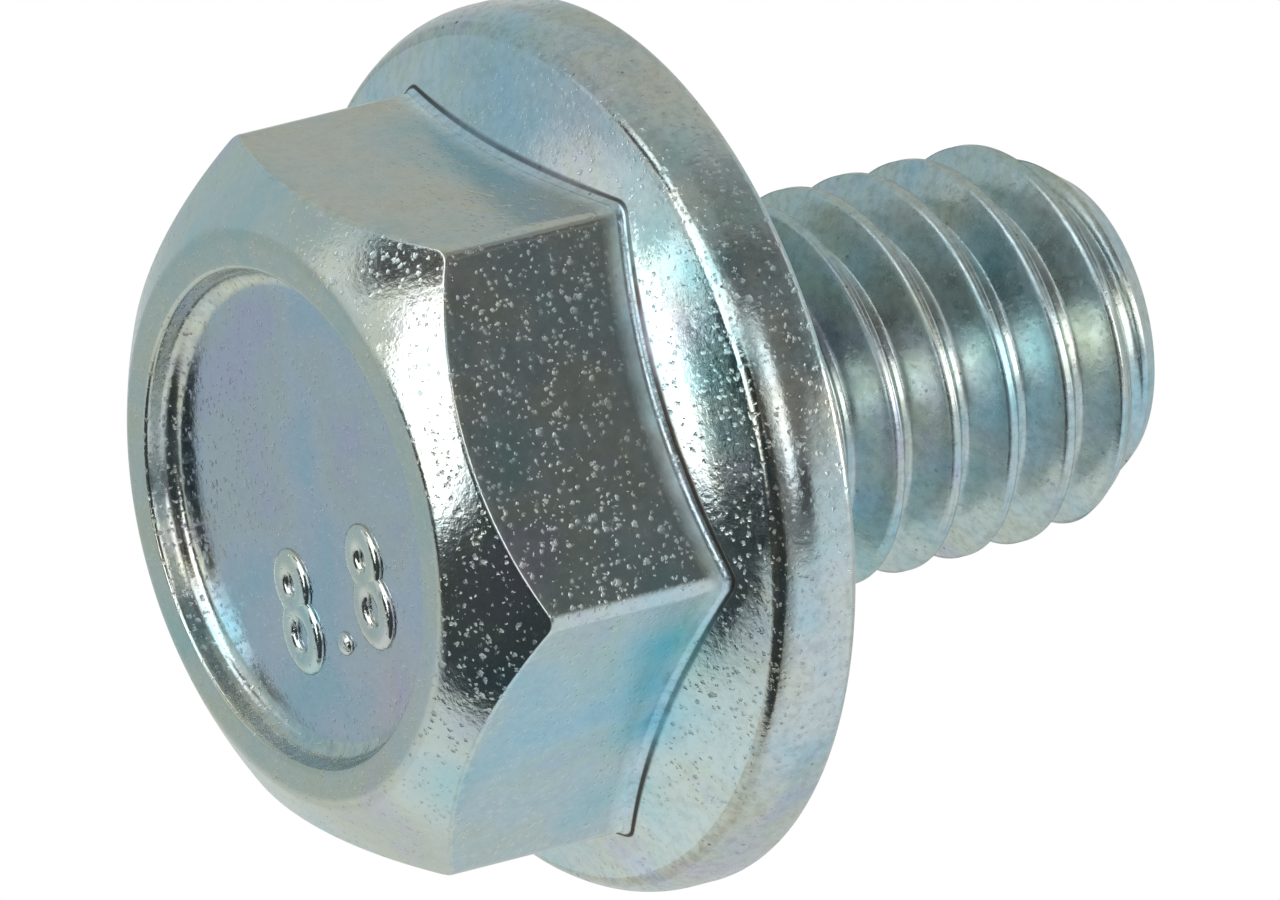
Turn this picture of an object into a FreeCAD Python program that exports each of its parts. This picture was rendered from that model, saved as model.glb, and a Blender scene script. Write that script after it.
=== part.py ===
import FreeCAD, Part
import math
import os

# Oil pan bolt: a hex flange bolt of size M6, cold headed and thread rolled from one piece of steel.
# All sizes are in millimetres, all angles in degrees.
# The bolt stands on its head: Z is 0 on the flat ring of the head top and rises along the thread.

# Hexagonal head.
head_height = 5.7
width_across_flats = 9.85
hex_edge_radius = 0.3
top_ring_diameter = 8.47
# Radius of the dome that rounds off the head top between the flat ring and the hexagon's corners.
dome_radius = 8.3

# Shallow round recess in the head top.
recess_diameter = 7.5
recess_depth = 0.45
recess_wall_angle = 15.0
recess_floor_radius = 0.3
recess_rim_chamfer = 0.08

# Flange under the hexagon.
flange_diameter = 13.33
flange_cone_angle = 25.0
rim_height = 1.25
rim_flare = 0.25
rim_land = 0.85
rim_bottom_chamfer = 0.15

# Shank and thread.
thread_diameter = 5.9
thread_pitch = 1.0
shank_length = 8.1
end_diameter = 4.5
end_chamfer_angle = 35.0
neck_fillet = 0.35
neck_length = 0.15
thread_entry_angle = 45.0
thread_runout = 1.2
# Height above the bearing face at which the groove first passes the +X side.
thread_start_height = 0.34

# Thread form: a symmetric V with a flat crest and a flat root.
thread_angle = 60.0
crest_width_ratio = 1.0 / 8.0
thread_depth_ratio = 17.0 * math.sqrt(3.0) / 48.0

# A profile lies in the XZ plane, with X as the radius, and is turned round the Z axis.
AXIS_POINT = FreeCAD.Vector(0, 0, 0)
AXIS_UP = FreeCAD.Vector(0, 0, 1)
FULL_TURN = 360.0
HEX_SIDES = 6
SAME_PLACE = 1e-6


def at(radius, height):
    """A point of a profile."""
    return FreeCAD.Vector(radius, 0, height)


def unit(vector):
    """A vector of length 1 in the same direction."""
    return vector / vector.Length


def line(start, end):
    """A straight edge of a profile."""
    return Part.LineSegment(start, end).toShape()


def arc(start, middle, end):
    """A round edge of a profile through three points."""
    return Part.Arc(start, middle, end).toShape()


def path(corners):
    """Edges from the first corner to the last. A corner is a point and the radius that rounds it."""
    edges = []
    pen = corners[0][0]
    for index in range(1, len(corners) - 1):
        point, rounding = corners[index]
        back = unit(corners[index - 1][0] - point)
        onward = unit(corners[index + 1][0] - point)
        inward = unit(back + onward)
        half_angle = back.getAngle(onward) / 2
        reach = rounding / math.tan(half_angle)
        touch = point + back * reach
        if (touch - pen).Length > SAME_PLACE:
            edges.append(line(pen, touch))
        pen = touch
        if rounding > 0:
            pen = point + onward * reach
            middle = point + inward * (rounding / math.sin(half_angle) - rounding)
            edges.append(arc(touch, middle, pen))
    edges.append(line(pen, corners[-1][0]))
    return edges


def turned(edges):
    """The solid of a closed profile turned a full turn round the axis."""
    face = Part.Face(Part.Wire(edges))
    return face.revolve(AXIS_POINT, AXIS_UP, FULL_TURN)


# Main heights and radii of the head.
bearing_z = head_height
rim_top_z = bearing_z - rim_height
flat_distance = width_across_flats / 2
corner_radius = flat_distance / math.cos(math.pi / HEX_SIDES)
top_ring_radius = top_ring_diameter / 2
flange_radius = flange_diameter / 2
rim_top_edge_radius = flange_radius - rim_flare
cone_apex_z = rim_top_z - rim_top_edge_radius * math.tan(math.radians(flange_cone_angle))

# Domed chamfer from the top ring to the hexagon's corners: an arc centred on the axis.
ring_edge = at(top_ring_radius, 0)
dome_centre = at(0, math.sqrt(dome_radius ** 2 - top_ring_radius ** 2))
dome_end = at(corner_radius, dome_centre.z - math.sqrt(dome_radius ** 2 - corner_radius ** 2))
dome_outward = unit(unit(ring_edge - dome_centre) + unit(dome_end - dome_centre))
dome = arc(ring_edge, dome_centre + dome_outward * dome_radius, dome_end)

# Turned outline of the head: recess with a rounded floor edge and a broken rim, top ring, dome.
recess_radius = recess_diameter / 2
wall_slope = math.tan(math.radians(recess_wall_angle))
recess_floor_edge = recess_radius - recess_depth * wall_slope
recess_and_ring = path([
    (at(0, recess_depth), 0),
    (at(recess_floor_edge, recess_depth), recess_floor_radius),
    (at(recess_radius - recess_rim_chamfer * wall_slope, recess_rim_chamfer), 0),
    (at(recess_radius + recess_rim_chamfer, 0), 0),
    (ring_edge, 0),
])
head_side = path([
    (dome_end, 0),
    (at(corner_radius, rim_top_z), 0),
    (at(0, rim_top_z), 0),
    (at(0, recess_depth), 0),
])
head_outline = turned(recess_and_ring + [dome] + head_side)

# Hexagonal prism with rounded upright edges, cut to the turned outline.
hex_corners = []
for corner in range(HEX_SIDES + 1):
    turn = 2 * math.pi * corner / HEX_SIDES
    hex_corners.append(FreeCAD.Vector(corner_radius * math.cos(turn), corner_radius * math.sin(turn), 0))
hex_prism = Part.Face(Part.makePolygon(hex_corners)).extrude(AXIS_UP * rim_top_z)
upright_edges = []
for edge in hex_prism.Edges:
    if edge.BoundBox.ZLength > SAME_PLACE:
        upright_edges.append(edge)
hexagon = hex_prism.makeFillet(hex_edge_radius, upright_edges).common(head_outline)

# Flange: cone on the wrench side, rim that flares to a straight land, and flat bearing face.
flange = turned(path([
    (at(0, cone_apex_z), 0),
    (at(rim_top_edge_radius, rim_top_z), 0),
    (at(flange_radius, bearing_z - rim_land), 0),
    (at(flange_radius, bearing_z - rim_bottom_chamfer), 0),
    (at(flange_radius - rim_bottom_chamfer, bearing_z), 0),
    (at(0, bearing_z), 0),
    (at(0, cone_apex_z), 0),
]))
head = hexagon.fuse(flange)

# Thread form.
thread_radius = thread_diameter / 2
thread_depth = thread_pitch * thread_depth_ratio
root_radius = thread_radius - thread_depth
flank_angle = math.radians(thread_angle / 2)
groove_half_width = thread_pitch * (1 - crest_width_ratio) / 2
root_half_width = groove_half_width - thread_depth * math.tan(flank_angle)
# The cutter reaches past the crest, and the neck's cone into the thread's core, by this overlap.
overlap = thread_depth / 10
cutter_radius = thread_radius + overlap
cutter_half_width = groove_half_width + overlap * math.tan(flank_angle)

# Heights along the shank. The neck keeps the diameter of the blank that the thread is rolled on.
neck_radius = (thread_radius + root_radius) / 2
end_radius = end_diameter / 2
end_z = bearing_z + shank_length
neck_end_z = bearing_z + neck_fillet + neck_length
runout_end_z = neck_end_z + thread_runout
entry_slope = math.tan(math.radians(thread_entry_angle))
entry_point_z = neck_end_z - neck_radius / entry_slope
entry_end_z = neck_end_z + (thread_radius - neck_radius) / entry_slope
end_chamfer_z = end_z - (thread_radius - end_radius) / math.tan(math.radians(end_chamfer_angle))

# Helical groove from inside the head to beyond the end: one turn is swept and repeated pitch by pitch.
groove_start_z = bearing_z + thread_start_height - thread_pitch
groove_turns = math.ceil((end_z - groove_start_z) / thread_pitch) + 1
groove_profile = Part.makePolygon([
    at(cutter_radius, groove_start_z - cutter_half_width),
    at(root_radius, groove_start_z - root_half_width),
    at(root_radius, groove_start_z + root_half_width),
    at(cutter_radius, groove_start_z + cutter_half_width),
    at(cutter_radius, groove_start_z - cutter_half_width),
])
helix = Part.makeHelix(thread_pitch, thread_pitch, thread_radius)
helix.translate(at(0, groove_start_z))
groove_turn = Part.Wire(helix.Edges).makePipeShell([groove_profile], False, True)
groove_faces = [Part.Face(groove_profile)]
for turn in range(groove_turns):
    groove_faces += groove_turn.translated(at(0, turn * thread_pitch)).Faces
groove_faces.append(Part.Face(groove_profile.translated(at(0, groove_turns * thread_pitch))))
groove = Part.Solid(Part.Shell(groove_faces))

# Threaded rod: grooved first, then trimmed by the entry cone and the end chamfer.
rod = Part.makeCylinder(thread_radius, end_z - entry_point_z, at(0, entry_point_z))
rod_outline = turned(path([
    (at(0, entry_point_z), 0),
    (at(thread_radius, entry_end_z), 0),
    (at(thread_radius, end_chamfer_z), 0),
    (at(end_radius, end_z), 0),
    (at(0, end_z), 0),
    (at(0, entry_point_z), 0),
]))
threaded_rod = rod.cut(groove).common(rod_outline)

# Neck: fillet under the head, plain length, and a cone that lets the groove run out.
neck = turned(path([
    (at(0, rim_top_z), 0),
    (at(neck_radius + neck_fillet, rim_top_z), 0),
    (at(neck_radius + neck_fillet, bearing_z), 0),
    (at(neck_radius, bearing_z), neck_fillet),
    (at(neck_radius, neck_end_z), 0),
    (at(root_radius - overlap, runout_end_z), 0),
    (at(0, runout_end_z), 0),
    (at(0, rim_top_z), 0),
]))

bolt = head.fuse(neck).fuse(threaded_rod).removeSplitter()

os.makedirs("parts", exist_ok=True)
bolt.Solids[0].exportStep("parts/flange_bolt.step")
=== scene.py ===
"""Looks of a short zinc-plated hex flange bolt, seen from its head end.

The bolt stands on its head: Z rises along the thread from the flat ring of the head top, and X runs
through a corner of the hexagon. Every length is in metres.
"""

import logging
import math
from dataclasses import dataclass, field
from enum import Enum

import bmesh
import bpy
import numpy as np
from mathutils import Matrix, Vector


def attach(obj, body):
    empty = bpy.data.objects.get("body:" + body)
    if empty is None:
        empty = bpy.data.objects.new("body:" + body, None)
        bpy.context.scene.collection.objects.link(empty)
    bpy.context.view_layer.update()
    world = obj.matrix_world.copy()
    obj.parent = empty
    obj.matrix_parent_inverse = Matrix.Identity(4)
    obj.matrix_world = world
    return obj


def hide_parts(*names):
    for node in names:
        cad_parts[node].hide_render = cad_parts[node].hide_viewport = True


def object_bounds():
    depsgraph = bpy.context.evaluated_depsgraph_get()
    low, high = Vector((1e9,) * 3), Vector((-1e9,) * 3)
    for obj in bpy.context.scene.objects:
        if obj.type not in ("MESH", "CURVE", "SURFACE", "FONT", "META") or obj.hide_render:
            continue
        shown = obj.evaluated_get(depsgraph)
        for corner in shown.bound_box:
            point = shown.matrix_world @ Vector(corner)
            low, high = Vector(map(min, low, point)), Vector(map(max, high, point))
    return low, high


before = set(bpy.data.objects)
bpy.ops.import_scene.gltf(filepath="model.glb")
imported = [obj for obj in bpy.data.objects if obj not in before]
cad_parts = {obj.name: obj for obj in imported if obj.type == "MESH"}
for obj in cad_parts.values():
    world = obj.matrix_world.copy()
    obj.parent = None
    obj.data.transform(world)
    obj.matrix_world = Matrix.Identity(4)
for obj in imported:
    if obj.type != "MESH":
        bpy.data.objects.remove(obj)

CAD_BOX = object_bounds()
NODE = "flange_bolt"
BODY = "root"
SLOT = "zinc_plated_steel"
MM = 0.001
HEX_SIDES = 6
SAME_PLACE = 1e-6
LOG = logging.getLogger("bolt")
WHITE = (1.0, 1.0, 1.0, 1.0)
# Places of the Mix node's colour sockets, whose names its number sockets share.
MIX_FIRST, MIX_SECOND, MIX_RESULT = 6, 7, 2
Colour = tuple[float, float, float]
Place = tuple[float, float, float]
Stops = tuple[tuple[float, Colour], ...]
Socket = bpy.types.NodeSocket


# Node trees written as formulas


@dataclass(frozen=True)
class Spots:
    """Scattered round spots. The largest and the least radius are shares of their spacing.

    A rarity of 1 gives spots of every size, and more gives mostly small ones.
    """

    spacing: float
    reach: float
    rarity: float
    least: float = 0.01


@dataclass(frozen=True)
class Patches:
    """Soft patches: the size of a noise, its finer layers, and the range that it is mapped to."""

    size: float
    detail: float
    rough: float
    span: tuple[float, float]
    result: tuple[float, float] = (0.0, 1.0)


class Formula:
    """Adds nodes to a tree, so that a rule reads as one call for each step."""

    def __init__(self, tree: bpy.types.NodeTree) -> None:
        """Starts on a tree."""
        self.tree = tree

    def node(self, kind: str, **settings: object) -> bpy.types.Node:
        """Adds a node and sets its properties.

        Args:
            kind: the node's type name.
            settings: properties of the node.

        Returns:
            The new node.
        """
        node = self.tree.nodes.new(kind)
        for name, value in settings.items():
            setattr(node, name, value)
        return node

    def plug(self, socket: Socket, value: object) -> None:
        """Links another node's output to a socket, or writes a plain value into it.

        Args:
            socket: the socket to fill.
            value: the output or the value.
        """
        if isinstance(value, Socket):
            self.tree.links.new(value, socket)
        else:
            socket.default_value = value

    def maths(self, operation: str, *values: object) -> Socket:
        """Applies one operation of the Math node.

        Args:
            operation: the operation's name.
            values: sockets or numbers, in the node's order.

        Returns:
            The result's socket.
        """
        node = self.node("ShaderNodeMath", operation=operation)
        for socket, value in zip(node.inputs, values):
            self.plug(socket, value)
        return node.outputs[0]

    def vector(self, x: object, y: object, z: object) -> Socket:
        """Joins three numbers or sockets into a vector.

        Args:
            x: the first of them.
            y: the second.
            z: the third.

        Returns:
            The vector's socket.
        """
        node = self.node("ShaderNodeCombineXYZ")
        for socket, value in zip(node.inputs, (x, y, z)):
            self.plug(socket, value)
        return node.outputs[0]

    def ramp(self, value: object, low: object, high: object, start: float = 0, end: float = 1) -> Socket:
        """Maps a value from one range to another with a smooth step and clamped ends.

        Args:
            value: the socket to map.
            low: value at which the result is start.
            high: value at which the result is end.
            start: result at low.
            end: result at high.

        Returns:
            The result's socket.
        """
        node = self.node("ShaderNodeMapRange", interpolation_type="SMOOTHSTEP", clamp=True)
        for socket, number in zip(node.inputs, (value, low, high, start, end)):
            self.plug(socket, number)
        return node.outputs[0]

    def blend(self, share: object, first: object, second: object, mode: str = "MIX") -> Socket:
        """Mixes two colours.

        Args:
            share: how much of the second colour is used.
            first: the first colour.
            second: the second colour.
            mode: the blend mode.

        Returns:
            The mixed colour's socket.
        """
        node = self.node("ShaderNodeMix", data_type="RGBA", blend_type=mode)
        self.plug(node.inputs["Factor"], share)
        self.plug(node.inputs[MIX_FIRST], first)
        self.plug(node.inputs[MIX_SECOND], second)
        return node.outputs[MIX_RESULT]

    def noise(self, place: Socket, size: float, detail: float, rough: float = 0.5) -> Socket:
        """Adds a noise texture.

        Args:
            place: the coordinates' socket.
            size: size of its features, in metres.
            detail: number of finer layers.
            rough: strength of the finer layers.

        Returns:
            The noise's value, about 0.5 on average.
        """
        node = self.node("ShaderNodeTexNoise")
        self.plug(node.inputs["Vector"], place)
        node.inputs["Scale"].default_value = 1 / size
        node.inputs["Detail"].default_value = detail
        node.inputs["Roughness"].default_value = rough
        return node.outputs[0]

    def patches(self, place: Socket, kind: Patches) -> Socket:
        """Spreads soft patches, a noise that is mapped to a range."""
        noise = self.noise(place, kind.size, kind.detail, kind.rough)
        return self.ramp(noise, *kind.span, *kind.result)

    def drift(self, place: Socket, size: float, detail: float, stops: Stops) -> Socket:
        """Lets a colour change from place to place.

        Args:
            place: the coordinates' socket.
            size: size of the change, in metres.
            detail: number of finer layers.
            stops: the colours and their positions, in order.

        Returns:
            The colour's socket.
        """
        node = self.node("ShaderNodeValToRGB")
        self.plug(node.inputs[0], self.noise(place, size, detail))
        elements = node.color_ramp.elements
        while len(elements) < len(stops):
            elements.new(0.5)
        for element, (position, colour) in zip(elements, stops):
            element.position = position
            element.color = (*colour, 1.0)
        return node.outputs[0]

    def spots(self, place: Socket, kind: Spots) -> Socket:
        """Scatters soft round spots of different sizes.

        Args:
            place: the coordinates' socket.
            kind: their spacing and sizes.

        Returns:
            A value of 1 in the middle of a spot and 0 between the spots.
        """
        cells = self.node("ShaderNodeTexVoronoi")
        self.plug(cells.inputs["Vector"], place)
        cells.inputs["Scale"].default_value = 1 / kind.spacing
        lot = self.node("ShaderNodeSeparateColor")
        self.plug(lot.inputs[0], cells.outputs["Color"])
        share = self.maths("POWER", lot.outputs[0], kind.rarity)
        radius = self.maths("MULTIPLY_ADD", share, kind.reach, kind.least)
        return self.ramp(cells.outputs["Distance"], 0.0, radius, 1.0, 0.0)


def geometry_tree(name: str, inputs: dict[str, float]) -> bpy.types.NodeTree:
    """Starts a geometry node tree with named inputs.

    Args:
        name: the tree's name.
        inputs: names and default values of its inputs.

    Returns:
        The tree, with its sockets and no nodes.
    """
    tree = bpy.data.node_groups.new(name, "GeometryNodeTree")
    tree.interface.new_socket(name="Geometry", in_out="OUTPUT", socket_type="NodeSocketGeometry")
    for label, value in inputs.items():
        socket = tree.interface.new_socket(name=label, in_out="INPUT", socket_type="NodeSocketFloat")
        socket.default_value = value
    return tree


def finish_tree(f: Formula, shape: Socket) -> None:
    """Ends a geometry node tree: real faces, the plating's material, and the output.

    Args:
        f: the tree's formula.
        shape: the finished shape's socket.
    """
    real = f.node("GeometryNodeRealizeInstances")
    f.plug(real.inputs["Geometry"], shape)
    dress = f.node("GeometryNodeSetMaterial")
    f.plug(dress.inputs["Geometry"], real.outputs[0])
    f.plug(dress.inputs["Material"], bpy.data.materials[SLOT])
    f.plug(f.node("NodeGroupOutput").inputs[0], dress.outputs[0])


def linked(name: str, data: bpy.types.ID) -> bpy.types.Object:
    """Makes an object of a mesh, a camera or a lamp, and links it to the scene."""
    made = bpy.data.objects.new(name, data)
    bpy.context.scene.collection.objects.link(made)
    return made


def plain_mesh(name: str, made: bmesh.types.BMesh) -> bpy.types.Mesh:
    """Turns a mesh that is being built into a plain one, and frees the former.

    Args:
        name: the mesh's name.
        made: the mesh that is being built.

    Returns:
        The plain mesh.
    """
    data = bpy.data.meshes.new(name)
    made.to_mesh(data)
    made.free()
    return data


def paint_layer(mesh: bpy.types.Mesh, name: str, values: np.ndarray) -> None:
    """Paints an attribute on a mesh.

    Args:
        mesh: the mesh.
        name: the attribute's name.
        values: three numbers for each vertex.
    """
    layer = mesh.color_attributes.new(name, "FLOAT_COLOR", "POINT")
    filled = np.hstack([values, np.ones((len(values), 1))])
    layer.data.foreach_set("color", filled.astype(np.float32).ravel())


def grown(tree: bpy.types.NodeTree, inputs: dict[str, float]) -> bmesh.types.BMesh:
    """Evaluates a geometry node tree on an empty carrier.

    Args:
        tree: the tree.
        inputs: values of its named inputs.

    Returns:
        The result as a mesh to build on, with an empty layer for the zones.
    """
    carrier = linked(tree.name, bpy.data.meshes.new(tree.name))
    modifier = carrier.modifiers.new(tree.name, "NODES")
    modifier.node_group = tree
    for socket in tree.interface.items_tree:
        if socket.in_out == "INPUT":
            modifier[socket.identifier] = inputs[socket.name]
    graph = bpy.context.evaluated_depsgraph_get()
    plain = bpy.data.meshes.new_from_object(carrier.evaluated_get(graph))
    bpy.data.objects.remove(carrier)
    mesh = bmesh.new()
    mesh.from_mesh(plain)
    mesh.verts.layers.int.new("zone")
    return mesh


# Outline rows of turned and hexagonal forms


@dataclass(frozen=True)
class Around:
    """How the rows of vertices are spaced round the axis: closer together at the hexagon's corners."""

    steps: int = 360
    crowding: float = 0.72

    def angles(self) -> np.ndarray:
        """Angles of one row of vertices, from +X."""
        even = np.arange(self.steps) / self.steps * 2 * math.pi
        return even - self.crowding / HEX_SIDES * np.sin(HEX_SIDES * even)


class Zone(Enum):
    """Parts of the surface that are plated and worn differently. Two carry painted light: a painted sheen
    at the foot of the flats and painted shade in the crease under it.
    """

    SHANK = 0
    RECESS = 1
    RING = 2
    DOME = 3
    FLAT = 4
    CONE = 5
    RIM = 6
    SEAT = 7
    WALL = 8
    FOOT = 9
    CREASE = 10
    EDGE = 11
    # Painted shade: the crease at the end of the flats' foot rounding, painted near black.
    LIP = 12
    CREST = 13
    # Painted sheen: the flats turn paler and bluer towards their foot.
    HAZE = 14


@dataclass
class Corner:
    """One corner of an outline, with the zone of the run that ends there.

    Radius and height may differ from angle to angle. The run that ends there and the arc that rounds
    it have a number of steps each, and the arc may have zones of its own, in order.
    """

    radius: np.ndarray | float
    height: np.ndarray | float
    zone: Zone
    rounding: float = 0.0
    run_steps: int = 1
    arc_steps: int = 6
    arc_zones: tuple[Zone, ...] = ()


@dataclass
class Row:
    """One row of vertices round the axis."""

    points: np.ndarray
    zone: Zone


def unit(vectors: np.ndarray) -> np.ndarray:
    """Vectors of length 1 in the same directions."""
    return vectors / np.linalg.norm(vectors, axis=-1, keepdims=True)


def rounded_corner(corner: Corner, *places: np.ndarray) -> tuple[np.ndarray, list[Row]]:
    """Rounds a corner of an outline with an arc.

    Args:
        corner: the corner.
        places: radius and height at each angle, of the corner before it, of itself and of the next one.

    Returns:
        Where the arc begins, and its rows from there on, with radius and height as their points.
    """
    before, point, after = places
    back = unit(before - point)
    onward = unit(after - point)
    half = np.arccos(np.clip((back * onward).sum(-1), -1, 1))[:, None] / 2
    reach = corner.rounding / np.tan(half)
    touch = point + back * reach
    centre = point + unit(back + onward) * corner.rounding / np.sin(half)
    sweep = math.pi - 2 * half
    first, last = touch - centre, point + onward * reach - centre
    zones = corner.arc_zones or (corner.zone,)
    arc = []
    for step in range(1, corner.arc_steps + 1):
        share = step / corner.arc_steps
        turned = np.sin((1 - share) * sweep) * first + np.sin(share * sweep) * last
        zone = zones[(step - 1) * len(zones) // corner.arc_steps]
        arc.append(Row(centre + turned / np.sin(sweep), zone))
    return touch, arc


def outline_rows(corners: list[Corner], around: Around) -> list[Row]:
    """Samples an outline at every angle round the axis.

    Args:
        corners: the outline's corners in order. run_steps counts the steps on the run that ends there.
        around: the spacing round the axis.

    Returns:
        The rows of vertices, in the outline's order.
    """
    points = []
    for corner in corners:
        pair = [np.broadcast_to(size, around.steps) for size in (corner.radius, corner.height)]
        points.append(np.stack(pair, -1))
    profile = [Row(points[0], corners[0].zone)]
    for index in range(1, len(corners)):
        corner, touch, arc = corners[index], points[index], []
        if corner.rounding > 0:
            touch, arc = rounded_corner(corner, *points[index - 1:index + 2])
        pen = profile[-1].points
        for step in range(1, corner.run_steps + 1):
            share = (1 - math.cos(math.pi * step / corner.run_steps)) / 2
            profile.append(Row(pen + (touch - pen) * share, corner.zone))
        profile.extend(arc)
    turn = around.angles()
    rows = []
    for row in profile:
        radius, height = row.points.T
        rows.append(Row(np.stack([radius * np.cos(turn), radius * np.sin(turn), height], -1), row.zone))
    return rows


def add_rows(mesh: bmesh.types.BMesh, rows: list[Row]) -> None:
    """Adds rows of vertices to a mesh and skins neighbouring rows with faces.

    Args:
        mesh: the mesh.
        rows: the rows, in order.
    """
    layer = mesh.verts.layers.int["zone"]
    made = []
    for row in rows:
        ring = [mesh.verts.new(point) for point in row.points]
        for vertex in ring:
            vertex[layer] = row.zone.value
        made.append(ring)
    for lower, upper in zip(made, made[1:]):
        for index in range(len(lower)):
            after = (index + 1) % len(lower)
            mesh.faces.new((lower[index], upper[index], upper[after], lower[after]))


# The bolt's body


@dataclass
class FlangedHead:
    """Hexagonal head with its round recess, the flange under it and the start of the neck."""

    box: tuple[Vector, Vector]
    height: float = 5.7 * MM
    across_flats: float = 9.85 * MM
    upright_rounding: float = 0.3 * MM
    top_ring_radius: float = 4.235 * MM
    dome_radius: float = 8.3 * MM
    recess_radius: float = 3.75 * MM
    recess_depth: float = 0.45 * MM
    floor_radius: float = 3.63 * MM
    floor_rounding: float = 0.3 * MM
    recess_rim_rounding: float = 0.08 * MM
    ring_edge_rounding: float = 0.3 * MM
    dome_edge_rounding: float = 0.1 * MM
    # Height of the band above the foot over which the flats are painted paler, as a sheen.
    sheen_height: float = 0.4 * MM
    foot_rounding: float = 0.2 * MM
    rim_top_radius: float = 6.415 * MM
    rim_top_height: float = 4.45 * MM
    rim_top_rounding: float = 0.35 * MM
    rim_land_height: float = 4.85 * MM
    rim_land_rounding: float = 1.1 * MM
    rim_bottom_rounding: float = 0.15 * MM
    cone_angle: float = math.radians(25)
    cone_hollow: float = 0.04 * MM
    cone_span: tuple[float, float] = (0.3, 0.7)
    cone_steps: int = 4
    neck_rounding: float = 0.35 * MM
    dome_steps: int = 7

    def hexagon_radius(self, angles: np.ndarray) -> np.ndarray:
        """Distance from the axis to the hexagon's side, with rounded upright edges.

        Args:
            angles: directions from +X, which points at a corner.

        Returns:
            The distance in each direction.
        """
        side = 2 * math.pi / HEX_SIDES
        from_corner = np.abs((angles + side / 2) % side - side / 2)
        flat = self.across_flats / 2 / np.cos(side / 2 - from_corner)
        centre = (self.across_flats / 2 - self.upright_rounding) / math.cos(side / 2)
        reach = self.upright_rounding ** 2 - (centre * np.sin(from_corner)) ** 2
        rounded = centre * np.cos(from_corner) + np.sqrt(np.maximum(reach, 0))
        tangent = self.upright_rounding * math.tan(side / 2)
        corner = self.across_flats / 2 / math.cos(side / 2)
        limit = math.atan2(tangent * math.cos(side / 2), corner - tangent * math.sin(side / 2))
        return np.where(from_corner < limit, rounded, flat)

    def dome_height(self, radius: np.ndarray | float) -> np.ndarray | float:
        """Height of the dome that rounds off the head top, at a distance from the axis."""
        centre = math.sqrt(self.dome_radius ** 2 - self.top_ring_radius ** 2)
        return centre - np.sqrt(self.dome_radius ** 2 - np.square(radius))

    def rows(self, around: Around, neck_radius: float, neck_height: float) -> list[Row]:
        """Rows of vertices from the middle of the recess to the neck.

        Args:
            around: the spacing round the axis.
            neck_radius: radius of the plain neck under the flange.
            neck_height: height at which the thread takes over.

        Returns:
            The rows of vertices.
        """
        side = self.hexagon_radius(around.angles())
        flange_radius = (self.box[1].x - self.box[0].x) / 2
        foot = self.rim_top_height - (self.rim_top_radius - side) * math.tan(self.cone_angle)
        floor = self.recess_depth
        corners = [
            Corner(0.0, floor, Zone.RECESS),
            Corner(self.floor_radius, floor, Zone.RECESS, self.floor_rounding, 8, 8, (Zone.WALL,)),
            Corner(self.recess_radius, 0.0, Zone.WALL, self.recess_rim_rounding, 3, 6, (Zone.RING,)),
            Corner(self.top_ring_radius, 0.0, Zone.RING, self.ring_edge_rounding, 4, 4),
        ]
        for step in range(1, self.dome_steps):
            radius = self.top_ring_radius + (side - self.top_ring_radius) * step / self.dome_steps
            corners.append(Corner(radius, self.dome_height(radius), Zone.DOME))
        corners += [
            Corner(side, self.dome_height(side), Zone.DOME, self.dome_edge_rounding, 3, 5, (Zone.EDGE,)),
            # From here to the foot, the flat fades to a paler colour: a painted sheen, with a rougher
            # finish.
            Corner(side, foot - self.sheen_height, Zone.FLAT, 0.0, 7),
            # The last third of the foot rounding is the crease, which is painted near black as shade.
            Corner(side, foot, Zone.HAZE, self.foot_rounding, 1, 9, (Zone.FOOT, Zone.FOOT, Zone.CREASE)),
        ]
        top_radius, top = self.rim_top_radius, self.rim_top_height
        for share in np.linspace(*self.cone_span, self.cone_steps):
            hollow = 4 * self.cone_hollow * share * (1 - share)
            height = foot + (top - foot) * share + hollow
            steps = 4 if share == self.cone_span[0] else 1
            corners.append(Corner(side + (top_radius - side) * share, height, Zone.CONE, run_steps=steps))
        corners += [
            Corner(top_radius, top, Zone.CONE, self.rim_top_rounding, 2, 10, (Zone.LIP,)),
            Corner(flange_radius, self.rim_land_height, Zone.RIM, self.rim_land_rounding, 1, 7),
            Corner(flange_radius, self.height, Zone.RIM, self.rim_bottom_rounding, 2, 6),
            Corner(neck_radius, self.height, Zone.SEAT, self.neck_rounding, 4, 6),
            Corner(neck_radius, neck_height, Zone.SHANK),
        ]
        return outline_rows(corners, around)


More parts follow.
